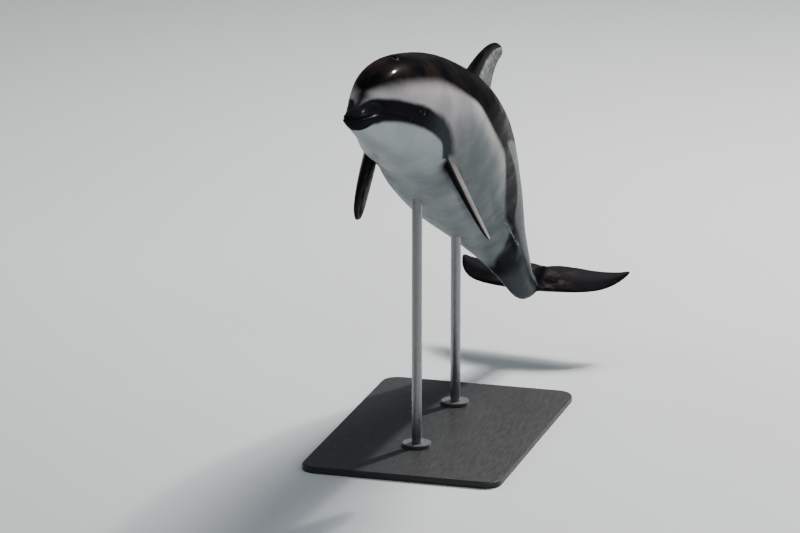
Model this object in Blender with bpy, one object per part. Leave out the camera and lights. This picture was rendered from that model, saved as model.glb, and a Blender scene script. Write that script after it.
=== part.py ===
"""Dusky dolphin in mid leap: a still, life-size display model on a plain stand.

The body is laid out straight first, as a share of its length from the beak tip, with left and up
offsets from a spine line. place() then bends that straight body along the posed spine.
The nose points to -Y, the animal's left is +X, and the stand's foot is centred on the origin.
"""

import math

import bmesh
import bpy
import numpy as np

# Overall sizes, in metres
LENGTH = 1.75  # beak tip to the line of the fluke tips
GAP = 0.0003  # air between pieces that touch
RING_SIDES = 28

# Body outline, in shares of LENGTH: station, back, belly and half width. Back and belly are heights
# over the spine line. The last column narrows a section towards its ridges, or fills it out below zero.
OUTLINE = (
    (0.000, -0.0170, -0.0170, 0.0000, 0.00),
    (0.010, -0.0060, -0.0280, 0.0135, 0.00),
    (0.025, 0.0030, -0.0330, 0.0175, -0.05),
    (0.050, 0.0275, -0.0410, 0.0255, -0.14),
    (0.080, 0.0495, -0.0495, 0.0345, -0.17),
    (0.120, 0.0650, -0.0585, 0.0450, -0.15),
    (0.200, 0.0810, -0.0720, 0.0595, -0.07),
    (0.300, 0.0945, -0.0830, 0.0760, 0.00),
    (0.420, 0.1040, -0.0920, 0.0840, 0.00),
    (0.550, 0.1000, -0.0900, 0.0760, 0.00),
    (0.680, 0.0840, -0.0700, 0.0530, 0.14),
    (0.800, 0.0545, -0.0425, 0.0280, 0.32),
    (0.900, 0.0330, -0.0195, 0.0155, 0.35),
    (0.960, 0.0150, -0.0100, 0.0110, 0.20),
    (1.000, 0.0040, -0.0040, 0.0050, 0.00),
)

# Pose of the spine, in degrees: station, nose-up pitch, heading towards +X, roll that lifts the left side
POSE = (
    (-0.05, 15.0, -6.5, 5.5),
    (0.10, 15.5, -6.5, 5.5),
    (0.20, 20.5, -2.6, 1.3),
    (0.30, 25.5, 3.7, -6.7),
    (0.40, 24.5, 4.9, -11.3),
    (0.50, 29.0, 2.1, -8.4),
    (0.60, 37.0, -2.6, -2.6),
    (0.70, 44.5, -7.3, 1.2),
    (0.80, 48.5, -7.6, 1.5),
    (0.87, 45.0, -7.0, 0.8),
    (0.93, 3.0, -6.8, 0.5),
    (0.96, -19.0, -6.6, 0.5),
    (1.00, -21.0, -6.6, 0.5),
    (1.05, -21.0, -6.6, 0.5),
)
ANCHOR_STATION = 0.35
ANCHOR_AT = (0.0107, -0.1135, 0.768)  # where the spine line passes at that station

# Lengths of the body: node, last station, steps between rings. The first starts at NOSE.
NOSE = 0.0005
LENGTHS = (("head", 0.190, 18), ("chest", 0.370, 7), ("trunk", 0.620, 8), ("loin", 0.770, 6), ("tail_stock", 0.965, 14))

# Head, in shares of LENGTH
MOUTH = (
    (-0.020, -0.0175),
    (0.000, -0.0170),
    (0.015, -0.0150),
    (0.035, -0.0105),
    (0.055, -0.0090),
    (0.080, -0.0115),
    (0.120, -0.0175),
)
GAPE = 0.108  # corner of the mouth
EYE_STATION, EYE_HEIGHT = 0.130, -0.0035
EYE_RADIUS, EYE_PROUD = 0.0140, 0.0030
BLOWHOLE_STATION = 0.130
BLOWHOLE_RADIUS, BLOWHOLE_SLOT, BLOWHOLE_SWEEP = 0.0130, 0.0022, 75.0

# Fins: rows of span share, leading edge, trailing edge and half thickness, in metres
FIN_EDGE = 0.0008  # half thickness at a trailing edge
DORSAL_STATION, DORSAL_HEIGHT = 0.445, 0.178
DORSAL = (
    (-0.25, -0.040, 0.318, 0.0160),
    (0.00, 0.000, 0.302, 0.0150),
    (0.25, 0.047, 0.274, 0.0115),
    (0.50, 0.102, 0.262, 0.0080),
    (0.75, 0.168, 0.268, 0.0052),
    (0.92, 0.224, 0.284, 0.0032),
    (1.00, 0.258, 0.288, 0.0016),
)
FLIPPER_SPAN = 0.296
FLIPPER = (
    (-0.30, 0.000, 0.075, 0.0130),
    (0.00, 0.000, 0.078, 0.0130),
    (0.25, -0.010, 0.090, 0.0110),
    (0.50, -0.010, 0.094, 0.0085),
    (0.75, 0.008, 0.090, 0.0055),
    (0.92, 0.038, 0.086, 0.0032),
    (1.00, 0.064, 0.080, 0.0016),
)
# Shoulder as station, out and up, then the span and chord directions as parts aft, out and up
FLIPPER_LEFT = ((0.230, 0.0487, -0.0485), (0.697, 0.302, -0.651), (0.711, -0.408, 0.572))
FLIPPER_RIGHT = ((0.224, 0.0540, -0.0465), (0.716, 0.302, -0.629), (0.686, -0.144, 0.713))
FLUKE_HALF_SPAN = 0.2250
FLUKE = (
    (0.00, -0.134, 0.000, 0.0105),
    (0.12, -0.132, 0.008, 0.0098),
    (0.35, -0.123, 0.009, 0.0080),
    (0.60, -0.101, 0.004, 0.0060),
    (0.80, -0.068, 0.006, 0.0042),
    (0.93, -0.030, 0.013, 0.0027),
    (1.00, 0.002, 0.023, 0.0014),
)
NOTCH_STATION = 0.985

# Display stand
BASE_SIZE, BASE_CORNER, BASE_BEVEL = (0.48, 0.74, 0.016), 0.040, 0.003
ROD_RADIUS, FLANGE_RADIUS, FLANGE_HEIGHT = 0.012, 0.034, 0.008
ROD_STATIONS = (("front", 0.37), ("rear", 0.61))

COLORS = {
    "skin": (0.035, 0.032, 0.030, 0.25, 0.0),
    "belly_skin": (0.45, 0.45, 0.42, 0.30, 0.0),
    "eye": (0.020, 0.014, 0.010, 0.08, 0.0),
    "stand_base": (0.030, 0.031, 0.033, 0.45, 0.0),
    "stand_rod": (0.55, 0.56, 0.57, 0.30, 1.0),
}


def smooth(x, table, column):
    """Cubic through a table's rows, each slope that of the parabola through three neighbouring rows."""
    xs, ys = np.array(table)[:, [0, column]].T
    step = np.diff(xs)
    chord = np.diff(ys) / step
    slope = np.empty_like(ys)
    slope[1:-1] = (chord[:-1] * step[1:] + chord[1:] * step[:-1]) / (step[:-1] + step[1:])
    slope[0], slope[-1] = chord[0], chord[-1]
    row = np.clip(np.searchsorted(xs, x) - 1, 0, len(step) - 1)
    t = (np.asarray(x, float) - xs[row]) / step[row]
    lift = (1 - t) * (slope[row] * step[row] * (1 - t) - slope[row + 1] * step[row] * t)
    return ys[row] + (ys[row + 1] - ys[row]) * t * t * (3 - 2 * t) + t * lift


OUTLINE_BY_ROOT = [(math.sqrt(row[0]),) + row[1:] for row in OUTLINE]


def outline(station):
    """Back, belly and half width in metres, and the ridge share.

    The table is read over the station's square root, so the nose comes out round.
    """
    root = np.sqrt(np.clip(station, 0.0, 1.0))
    back, belly, half_width = (LENGTH * smooth(root, OUTLINE_BY_ROOT, column) for column in (1, 2, 3))
    return back, belly, half_width, smooth(root, OUTLINE_BY_ROOT, 4)


def axes(station):
    """Unit vectors aft, left and up of the posed spine, each of shape (n, 3)."""
    pitch, heading, roll = (np.radians(smooth(station, POSE, column)) for column in (1, 2, 3))
    zero = np.zeros_like(pitch)
    aft = np.stack([-np.sin(heading) * np.cos(pitch), np.cos(heading) * np.cos(pitch), -np.sin(pitch)], -1)
    level_left = np.stack([np.cos(heading), np.sin(heading), zero], -1)
    level_up = np.cross(level_left, aft)
    turn = roll[..., None]
    left = level_left * np.cos(turn) + level_up * np.sin(turn)
    up = level_up * np.cos(turn) - level_left * np.sin(turn)
    return aft, left, up


def spine_table():
    """Stations and the points of the posed spine line, from summing its aft direction."""
    stations = np.linspace(POSE[0][0], POSE[-1][0], 1101)
    aft = axes(stations)[0]
    steps = (aft[1:] + aft[:-1]) / 2 * LENGTH * (stations[1] - stations[0])
    points = np.vstack([np.zeros(3), np.cumsum(steps, axis=0)])
    anchor = [np.interp(ANCHOR_STATION, stations, points[:, axis]) for axis in range(3)]
    return stations, points - anchor + ANCHOR_AT


SPINE = spine_table()


def place(station, left, up):
    """World points of the posed body for a station and metres left and up of the spine line."""
    station, left, up = np.broadcast_arrays(*(np.asarray(v, float) for v in (station, left, up)))
    centre = np.stack([np.interp(station, SPINE[0], SPINE[1][:, axis]) for axis in range(3)], -1)
    _, leftward, upward = axes(station)
    return centre + leftward * left[..., None] + upward * up[..., None]


def ring(station, margin=0.0):
    """Points of one cross-section of the posed body, grown outward by margin."""
    back, belly, half_width, ridge = outline(station)
    angle = np.arange(RING_SIDES) * 2 * math.pi / RING_SIDES
    left = (half_width + margin) * np.cos(angle) * (1 - ridge * np.sin(angle) ** 2)
    up = (back + belly) / 2 + ((back - belly) / 2 + margin) * np.sin(angle)
    return place(station, left, up)


def material(name):
    red, green, blue, roughness, metallic = COLORS[name]
    made = bpy.data.materials.new(name)
    made.use_nodes = True
    shader = made.node_tree.nodes["Principled BSDF"]
    shader.inputs["Base Color"].default_value = (red, green, blue, 1.0)
    shader.inputs["Roughness"].default_value = roughness
    shader.inputs["Metallic"].default_value = metallic
    return made


def add_object(name, bm, finish):
    """Object of a bmesh with its faces turned outward. With no finish it is a hidden cutter."""
    bmesh.ops.recalc_face_normals(bm, faces=bm.faces)
    mesh = bpy.data.meshes.new(name)
    bm.to_mesh(mesh)
    bm.free()
    mesh.shade_smooth()
    mesh.set_sharp_from_angle(angle=math.radians(40))
    made = bpy.data.objects.new(name, mesh)
    bpy.context.scene.collection.objects.link(made)
    if finish is None:
        made.hide_render = True
        made.display_type = "WIRE"
    else:
        mesh.materials.append(FINISHES[finish])
    return made


def loft(name, rings, finish=None):
    """Closed solid of triangles through rings of equal point count, with a face over each end."""
    bm = bmesh.new()
    rows = [[bm.verts.new(point) for point in points] for points in rings]
    for near, far in zip(rows, rows[1:]):
        for k in range(len(near)):
            after = (k + 1) % len(near)
            bm.faces.new((near[k], near[after], far[k]))
            bm.faces.new((near[after], far[after], far[k]))
    bm.faces.new(rows[0])
    bm.faces.new(rows[-1])
    return add_object(name, bm, finish)


def ring_stations():
    """Each length's ring stations by its name. The rings are closer together towards the nose."""
    found = {}
    start = NOSE
    for name, end, steps in LENGTHS:
        found[name] = np.linspace(math.sqrt(start), math.sqrt(end), steps + 1) ** 2
        start = end
    return found


def body(name, stations, finish=None, margin=0.0):
    return loft(name, [ring(station, margin) for station in stations], finish)


def parted(name):
    """One length of the body, half a gap short at each end that meets another."""
    stations = RINGS[name].copy()
    if name != LENGTHS[0][0]:
        stations[0] += GAP / 2 / LENGTH
    if name != LENGTHS[-1][0]:
        stations[-1] -= GAP / 2 / LENGTH
    return body(name, stations, "skin")


def whole_body():
    """Cutter a gap larger than all the lengths together."""
    stations = np.unique(np.concatenate(list(RINGS.values())))
    stations[0] = 0.0
    stations[-1] += GAP / LENGTH
    return body("body_core", stations, margin=GAP)


def boolean(target, operation, cutter):
    """Adds a Boolean that cuts target with cutter, or keeps what both share."""
    modifier = target.modifiers.new(cutter.name, "BOOLEAN")
    modifier.operation = operation
    modifier.solver = "EXACT"
    modifier.object = cutter


def sphere(name, centre, radius, finish=None):
    bm = bmesh.new()
    bmesh.ops.create_uvsphere(bm, u_segments=18, v_segments=12, radius=radius)
    bmesh.ops.translate(bm, verts=bm.verts, vec=centre)
    return add_object(name, bm, finish)


def foil(leading, trailing, half_thickness):
    """Closed streamlined section as chord and thickness offsets, round in front and thin behind."""
    share = (1 - np.cos(np.linspace(0, math.pi, 9))) / 2
    chord = leading + (trailing - leading) * share
    thick = half_thickness * 2.6 * np.sqrt(share) * (1 - share) + FIN_EDGE * np.minimum(1, share * 9)
    return np.concatenate([chord, chord[:0:-1]]), np.concatenate([thick, -thick[:0:-1]])


def fin_rings(table, first, last, count, put):
    """Sections along a fin; put turns span share, chord and thickness offsets into world points."""
    rings = []
    for share in np.linspace(first, last, count):
        chord, thick = foil(*(smooth(share, table, column) for column in (1, 2, 3)))
        rings.append(put(share, chord, thick))
    return rings


def jaw_space(name, margin):
    """Solid that holds all of the head under the mouth line, out to the corner of the mouth."""
    rings = []
    for station in np.linspace(MOUTH[0][0], GAPE + margin / LENGTH, 12):
        top = LENGTH * smooth(station, MOUTH, 1) + margin
        rings.append(place(station, [-0.12, 0.12, 0.12, -0.12], [top, top, -0.15, -0.15]))
    return loft(name, rings)


def blowhole():
    """Curved slot over the head, open towards the nose."""
    back = outline(BLOWHOLE_STATION)[0]
    rings = []
    for degrees in np.linspace(-BLOWHOLE_SWEEP, BLOWHOLE_SWEEP, 13):
        turn = math.radians(degrees)
        aft, left = BLOWHOLE_RADIUS * math.cos(turn), BLOWHOLE_RADIUS * math.sin(turn)
        aft_wall = np.array([-1, 1, 1, -1]) * BLOWHOLE_SLOT / 2 * math.cos(turn)
        left_wall = np.array([-1, 1, 1, -1]) * BLOWHOLE_SLOT / 2 * math.sin(turn)
        station = BLOWHOLE_STATION + (aft + aft_wall) / LENGTH
        rings.append(place(station, left + left_wall, back + np.array([-0.007, -0.007, 0.01, 0.01])))
    return loft("blowhole", rings)


def head():
    whole = parted("head")
    boolean(whole, "DIFFERENCE", jaw_space("mouth", GAP))
    boolean(whole, "DIFFERENCE", blowhole())
    jaw = body("lower_jaw", RINGS["head"], "belly_skin")
    boolean(jaw, "INTERSECT", jaw_space("jaw", 0.0))
    back, belly, half_width, ridge = outline(EYE_STATION)
    sine = (2 * EYE_HEIGHT * LENGTH - back - belly) / (back - belly)
    surface = half_width * math.sqrt(1 - sine * sine) * (1 - ridge * sine * sine)
    reach = surface - EYE_RADIUS + EYE_PROUD
    for side, sign in (("left", 1), ("right", -1)):
        centre = place(EYE_STATION, sign * reach, EYE_HEIGHT * LENGTH)
        sphere("eye_" + side, centre, EYE_RADIUS, "eye")
        boolean(whole, "DIFFERENCE", sphere("socket_" + side, centre, EYE_RADIUS + GAP))


def dorsal_fin(core):
    def put(share, chord, thick):
        station = DORSAL_STATION + chord / LENGTH
        back = outline(DORSAL_STATION + 0.07)[0] - 0.006
        return place(station, thick, back + DORSAL_HEIGHT * share)

    fin = loft("dorsal_fin", fin_rings(DORSAL, -0.20, 1.0, 13, put), "skin")
    boolean(fin, "DIFFERENCE", core)


def flipper(side, sign, hung, core):
    (station, out_share, up_share), *directions = hung
    aft, left, up = axes(np.float64(station))
    out = sign * left
    span, chord_way = (a * aft + o * out + u * up for a, o, u in directions)
    span = span / np.linalg.norm(span)
    chord_way = chord_way - span * (chord_way @ span)
    chord_way = chord_way / np.linalg.norm(chord_way)
    normal = np.cross(span, chord_way)
    shoulder = place(station, sign * out_share * LENGTH, up_share * LENGTH)

    def put(share, chord, thick):
        return shoulder + FLIPPER_SPAN * share * span + np.outer(chord, chord_way) + np.outer(thick, normal)

    fin = loft("flipper_" + side, fin_rings(FLIPPER, -0.20, 1.0, 14, put), "skin")
    boolean(fin, "DIFFERENCE", core)


def fluke(side, sign, core):
    def put(share, chord, thick):
        out = GAP / 2 + (FLUKE_HALF_SPAN - GAP / 2) * share
        return place(NOTCH_STATION + chord / LENGTH, sign * out, thick)

    fin = loft("fluke_" + side, fin_rings(FLUKE, 0.0, 1.0, 14, put), "skin")
    boolean(fin, "DIFFERENCE", core)


def rounded_plate(name, size, corner, bevel, finish):
    """Flat plate with round corners and a small bevel on its top edge, standing on z = 0."""
    bm = bmesh.new()
    outline_points = []
    for quarter in range(4):
        turn = quarter * math.pi / 2
        sx = 1 if quarter in (0, 3) else -1
        sy = 1 if quarter in (0, 1) else -1
        middle = (sx * (size[0] / 2 - corner), sy * (size[1] / 2 - corner))
        for step in range(7):
            angle = turn + step * math.pi / 12
            outline_points.append((middle, math.cos(angle), math.sin(angle)))
    rows = []
    for height, inset in ((0.0, 0.0), (size[2] - bevel, 0.0), (size[2], bevel)):
        radius = corner - inset
        rows.append([bm.verts.new((m[0] + radius * c, m[1] + radius * s, height)) for m, c, s in outline_points])
    for near, far in zip(rows, rows[1:]):
        for k in range(len(near)):
            after = (k + 1) % len(near)
            bm.faces.new((near[k], near[after], far[after], far[k]))
    bm.faces.new(rows[0])
    bm.faces.new(rows[-1])
    return add_object(name, bm, finish)


def cylinder(name, radius, bottom, top, at, sides, finish):
    bm = bmesh.new()
    bmesh.ops.create_cone(
        bm, cap_ends=True, segments=sides, radius1=radius, radius2=radius, depth=top - bottom
    )
    bmesh.ops.translate(bm, verts=bm.verts, vec=(at[0], at[1], (bottom + top) / 2))
    return add_object(name, bm, finish)


def stand(core):
    rounded_plate("stand_base", BASE_SIZE, BASE_CORNER, BASE_BEVEL, "stand_base")
    for where, station in ROD_STATIONS:
        belly = place(station, 0.0, outline(station)[1])
        foot = BASE_SIZE[2] + GAP
        top = foot + FLANGE_HEIGHT
        cylinder("stand_flange_" + where, FLANGE_RADIUS, foot, top, belly, 32, "stand_rod")
        rod = cylinder("stand_rod_" + where, ROD_RADIUS, top + GAP, belly[2] + 0.04, belly, 24, "stand_rod")
        boolean(rod, "DIFFERENCE", core)


for old in list(bpy.data.objects):
    bpy.data.objects.remove(old, do_unlink=True)
FINISHES = {name: material(name) for name in COLORS}
RINGS = ring_stations()
CORE = whole_body()
head()
for length_name, _, _ in LENGTHS[1:]:
    parted(length_name)
dorsal_fin(CORE)
flipper("left", 1, FLIPPER_LEFT, CORE)
flipper("right", -1, FLIPPER_RIGHT, CORE)
fluke("left", 1, CORE)
fluke("right", -1, CORE)
stand(CORE)
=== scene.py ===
"""Finish of a life-size dusky dolphin display model in mid leap, on a plain two-rod stand.

The skin is one closed surface. Its body is a grid of stations and section angles, and each fin grows out
of a window in that grid. Stations are shares of LENGTH from the beak tip, angles run from the belly at
-90 through the animal's left at 0 to the back at 90 degrees. The nose points to -Y and left is +X.
"""

import math

import bpy
import numpy as np
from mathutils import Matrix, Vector


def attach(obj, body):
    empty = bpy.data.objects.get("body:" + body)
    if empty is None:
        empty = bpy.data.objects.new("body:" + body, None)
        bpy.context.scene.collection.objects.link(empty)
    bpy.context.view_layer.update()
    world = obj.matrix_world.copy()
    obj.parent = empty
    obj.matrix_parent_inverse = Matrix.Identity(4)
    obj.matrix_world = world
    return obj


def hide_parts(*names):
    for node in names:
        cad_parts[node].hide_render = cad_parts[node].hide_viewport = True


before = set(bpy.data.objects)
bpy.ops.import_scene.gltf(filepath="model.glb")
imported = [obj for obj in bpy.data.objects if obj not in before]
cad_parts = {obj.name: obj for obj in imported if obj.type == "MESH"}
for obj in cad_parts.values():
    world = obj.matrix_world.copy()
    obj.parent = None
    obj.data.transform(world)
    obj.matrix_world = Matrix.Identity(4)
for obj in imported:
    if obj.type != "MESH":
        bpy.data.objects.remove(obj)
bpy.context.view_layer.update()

# ---- sizes shared with the solids, in metres
LENGTH = 1.75
OUTLINE = (  # station, then back, belly and half width as shares of LENGTH, and how far the ridges narrow
    (0.000, -0.0170, -0.0170, 0.0000, 0.00),
    (0.010, -0.0060, -0.0280, 0.0135, 0.00),
    (0.025, 0.0030, -0.0330, 0.0175, -0.05),
    (0.050, 0.0275, -0.0410, 0.0255, -0.14),
    (0.080, 0.0495, -0.0495, 0.0345, -0.17),
    (0.120, 0.0650, -0.0585, 0.0450, -0.15),
    (0.200, 0.0810, -0.0720, 0.0595, -0.07),
    (0.300, 0.0945, -0.0830, 0.0760, 0.00),
    (0.420, 0.1040, -0.0920, 0.0840, 0.00),
    (0.550, 0.1000, -0.0900, 0.0760, 0.00),
    (0.680, 0.0840, -0.0700, 0.0530, 0.14),
    (0.800, 0.0545, -0.0425, 0.0280, 0.32),
    (0.900, 0.0330, -0.0195, 0.0155, 0.35),
    (0.960, 0.0150, -0.0100, 0.0110, 0.20),
    (1.000, 0.0040, -0.0040, 0.0050, 0.00),
)
POSE = (  # station, then pitch, heading and roll in degrees
    (-0.05, 15.0, -6.5, 5.5),
    (0.10, 15.5, -6.5, 5.5),
    (0.20, 20.5, -2.6, 1.3),
    (0.30, 25.5, 3.7, -6.7),
    (0.40, 24.5, 4.9, -11.3),
    (0.50, 29.0, 2.1, -8.4),
    (0.60, 37.0, -2.6, -2.6),
    (0.70, 44.5, -7.3, 1.2),
    (0.80, 48.5, -7.6, 1.5),
    (0.87, 45.0, -7.0, 0.8),
    (0.93, 3.0, -6.8, 0.5),
    (0.96, -19.0, -6.6, 0.5),
    (1.00, -21.0, -6.6, 0.5),
    (1.05, -21.0, -6.6, 0.5),
)
ANCHOR_STATION = 0.35
ANCHOR_AT = (0.0107, -0.1135, 0.768)
MOUTH = (  # station and the mouth line's height as a share of LENGTH
    (-0.020, -0.0175),
    (0.000, -0.0170),
    (0.015, -0.0150),
    (0.035, -0.0105),
    (0.055, -0.0090),
    (0.080, -0.0115),
    (0.120, -0.0175),
)
GAPE = 0.108
EYE_STATION, EYE_HEIGHT = 0.130, -0.0035
EYE_RADIUS, EYE_PROUD = 0.0140, 0.0030
BLOWHOLE_STATION, BLOWHOLE_RADIUS = 0.124, 0.0190
DORSAL_STATION, DORSAL_HEIGHT = 0.445, 0.178
DORSAL = (  # share of the span, then leading edge, trailing edge and half thickness in metres
    (-0.25, -0.040, 0.318, 0.0160),
    (0.00, 0.000, 0.302, 0.0150),
    (0.25, 0.047, 0.274, 0.0115),
    (0.50, 0.102, 0.262, 0.0080),
    (0.75, 0.168, 0.268, 0.0052),
    (0.92, 0.224, 0.284, 0.0032),
    (1.00, 0.258, 0.288, 0.0016),
)
FLIPPER_SPAN = 0.296
FLIPPER = (  # as the dorsal fin
    (-0.30, 0.000, 0.075, 0.0130),
    (0.00, 0.000, 0.078, 0.0130),
    (0.25, -0.010, 0.090, 0.0110),
    (0.50, -0.010, 0.094, 0.0085),
    (0.75, 0.008, 0.090, 0.0055),
    (0.92, 0.038, 0.086, 0.0032),
    (1.00, 0.064, 0.080, 0.0016),
)
# Shoulder as station, out and up, then the span and chord directions as parts aft, out and up
FLIPPER_LEFT = ((0.230, 0.0487, -0.0485), (0.697, 0.302, -0.651), (0.711, -0.408, 0.572))
FLIPPER_RIGHT = ((0.224, 0.0540, -0.0465), (0.716, 0.302, -0.629), (0.686, -0.144, 0.713))
FLUKE_HALF_SPAN, NOTCH_STATION = 0.2250, 0.985
FLUKE = (  # as the dorsal fin, leading and trailing edges from the notch
    (0.00, -0.134, 0.000, 0.0105),
    (0.12, -0.132, 0.008, 0.0098),
    (0.35, -0.123, 0.009, 0.0080),
    (0.60, -0.101, 0.004, 0.0060),
    (0.80, -0.068, 0.006, 0.0042),
    (0.93, -0.030, 0.013, 0.0027),
    (1.00, 0.002, 0.023, 0.0014),
)
FIN_EDGE = 0.0008

# ---- the skin's own grid
SIDE_CELLS = 76  # cells from belly to back on each side
MOUTH_COLUMN = 33  # the column line that follows the mouth
ROW_SPACING = (  # station, distance between rows in metres
    (0.000, 0.0006),
    (0.010, 0.0013),
    (0.030, 0.0020),
    (0.150, 0.0022),
    (0.190, 0.0042),
    (0.320, 0.0042),
    (0.350, 0.0075),
    (0.410, 0.0070),
    (0.440, 0.0056),
    (0.620, 0.0056),
    (0.660, 0.0080),
    (0.850, 0.0062),
    (0.890, 0.0034),
    (0.985, 0.0026),
)
TAIL_END, LAST_ROOT_STATION = 0.9850, 0.9785
FILLET_CELLS = 7
WEDGE_START, WEDGE_END, WEDGE_POWER = 0.925, 0.9858, 1.7  # where the tail stock thins to the notch
FILLET_PULL = 0.62  # how far the handles of a fillet reach towards its corner
TIP_START, TIP_POWER = 0.9, 1.35  # share of the span where a fin's loops start to crowd, and how fast
ROUND_TIP, TIP_THICKNESS = 0.94, 0.35  # where a fin's tip starts to round, and the thickness it keeps
PROFILE_SCALE = 2.6  # brings the largest value of a fin's profile to one
CORE_WIDTH = 0.35  # share of the width that the thinned stock keeps


def smooth(x, table, column):
    """Cubic through a table's rows, each slope that of the parabola through three neighbouring rows."""
    xs, ys = np.array(table)[:, [0, column]].T
    step = np.diff(xs)
    chord = np.diff(ys) / step
    slope = np.empty_like(ys)
    slope[1:-1] = (chord[:-1] * step[1:] + chord[1:] * step[:-1]) / (step[:-1] + step[1:])
    slope[0], slope[-1] = chord[0], chord[-1]
    row = np.clip(np.searchsorted(xs, x) - 1, 0, len(step) - 1)
    t = (np.asarray(x, float) - xs[row]) / step[row]
    lift = (1 - t) * (slope[row] * step[row] * (1 - t) - slope[row + 1] * step[row] * t)
    return ys[row] + (ys[row + 1] - ys[row]) * t * t * (3 - 2 * t) + t * lift


def ease(low, high, x):
    """Zero below low, one above high, and a smooth S between."""
    t = np.clip((np.asarray(x, float) - low) / (high - low), 0.0, 1.0)
    return t * t * (3 - 2 * t)


def unit(vectors):
    """Vectors over their own length."""
    return vectors / np.maximum(np.linalg.norm(vectors, axis=-1, keepdims=True), 1e-12)


OUTLINE_BY_ROOT = [(math.sqrt(row[0]),) + row[1:] for row in OUTLINE]


def outline(station):
    """Back, belly and half width in metres, and the ridge share, read over the station's square root."""
    root = np.sqrt(np.clip(station, 0.0, 1.0))
    back, belly, half_width = (LENGTH * smooth(root, OUTLINE_BY_ROOT, column) for column in (1, 2, 3))
    return back, belly, half_width, smooth(root, OUTLINE_BY_ROOT, 4)


def axes(station):
    """Unit vectors aft, left and up of the posed spine."""
    pitch, heading, roll = (np.radians(smooth(station, POSE, column)) for column in (1, 2, 3))
    zero = np.zeros_like(pitch)
    aft = np.stack([-np.sin(heading) * np.cos(pitch), np.cos(heading) * np.cos(pitch), -np.sin(pitch)], -1)
    level_left = np.stack([np.cos(heading), np.sin(heading), zero], -1)
    level_up = np.cross(level_left, aft)
    turn = roll[..., None]
    left = level_left * np.cos(turn) + level_up * np.sin(turn)
    up = level_up * np.cos(turn) - level_left * np.sin(turn)
    return aft, left, up


def spine_table():
    """Stations and the points of the posed spine line, from summing its aft direction."""
    stations = np.linspace(POSE[0][0], POSE[-1][0], 1101)
    aft = axes(stations)[0]
    steps = (aft[1:] + aft[:-1]) / 2 * LENGTH * (stations[1] - stations[0])
    points = np.vstack([np.zeros(3), np.cumsum(steps, axis=0)])
    anchor = [np.interp(ANCHOR_STATION, stations, points[:, axis]) for axis in range(3)]
    return stations, points - anchor + ANCHOR_AT


SPINE = spine_table()


def spine_point(station):
    """Points of the spine line, straight between those of its table."""
    return np.stack([np.interp(station, SPINE[0], SPINE[1][:, axis]) for axis in range(3)], -1)


def place(station, left, up):
    """World points of the posed body for a station and metres left and up of the spine line."""
    station, left, up = np.broadcast_arrays(*(np.asarray(v, float) for v in (station, left, up)))
    _, leftward, upward = axes(station)
    return spine_point(station) + leftward * left[..., None] + upward * up[..., None]


def unplace(points, station):
    """Station, left and up of world points: from a guess, steps along the spine to each point's foot."""
    for _ in range(6):
        aft = axes(station)[0]
        station = np.clip(station + ((points - spine_point(station)) * aft).sum(-1) / LENGTH, -0.04, 1.04)
    _, left, up = axes(station)
    offset = points - spine_point(station)
    return station, (offset * left).sum(-1), (offset * up).sum(-1)


def section(station, angle):
    """Left and up of the plain body's outline: an ellipse whose sides narrow towards its ridges."""
    back, belly, half_width, ridge = outline(station)
    sine = np.sin(angle)
    left = half_width * np.cos(angle) * (1 - ridge * sine**2)
    return left, (back + belly) / 2 + (back - belly) / 2 * sine


# ---- the surface
def folded(angle):
    """Section angle with the right side folded onto the left, so that both sides share one set of forms."""
    turned = np.mod(angle + math.pi / 2, 2 * math.pi) - math.pi / 2
    return np.where(turned > math.pi / 2, math.pi - turned, turned)


def bump(distance, width):
    """A bell of height 1 that falls off over the width."""
    return np.exp(-((distance / width) ** 2))


SHOULDER_STATION, SHOULDER_LENGTH, SHOULDER_WIDTH = 0.178, 0.052, 0.50
SHOULDERS = (0.017, 221), (0.003, -41)  # height in metres and angle in degrees, of the right and the left


def shoulder(station, angle):
    """Height in metres of the swelling in front of each flipper, a bell along and round the body; it is
    higher where the right flipper is raised."""
    angle = np.mod(angle + math.pi / 2, 2 * math.pi) - math.pi / 2
    right, left = (height * bump(angle - math.radians(at), SHOULDER_WIDTH) for height, at in SHOULDERS)
    return bump(station - SHOULDER_STATION, SHOULDER_LENGTH) * (right + left)


def wedge(station, least=0.0):
    """Share of its height that the section keeps: the root of one less a power of the way to the notch."""
    way = np.clip((station - WEDGE_START) / (WEDGE_END - WEDGE_START), 0, 1)
    return np.sqrt(np.clip(1 - way**WEDGE_POWER, least, 1.0))


def plain(station, angle):
    """The posed outline surface with its shoulders, whose section thins to a wedge at the notch."""
    left, up = section(station, angle)
    back, belly, _, _ = outline(station)
    thin = wedge(station)
    middle = (back + belly) / 2
    swell = shoulder(station, angle)
    left = left * (CORE_WIDTH + (1 - CORE_WIDTH) * thin) + swell * np.cos(angle)
    return place(station, left, middle + (up - middle) * thin + swell * np.sin(angle))


def plain_normal(station, angle):
    """Outward unit normal of the plain surface, from differences along and around it."""
    step_s, step_a = 0.0006, 0.004
    low, high = np.clip(station - step_s, 0.0, 1), np.clip(station + step_s, 0, TAIL_END)
    along = plain(high, angle) - plain(low, angle)
    round_it = plain(station, angle + step_a) - plain(station, angle - step_a)
    return unit(np.cross(along, round_it))


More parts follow.
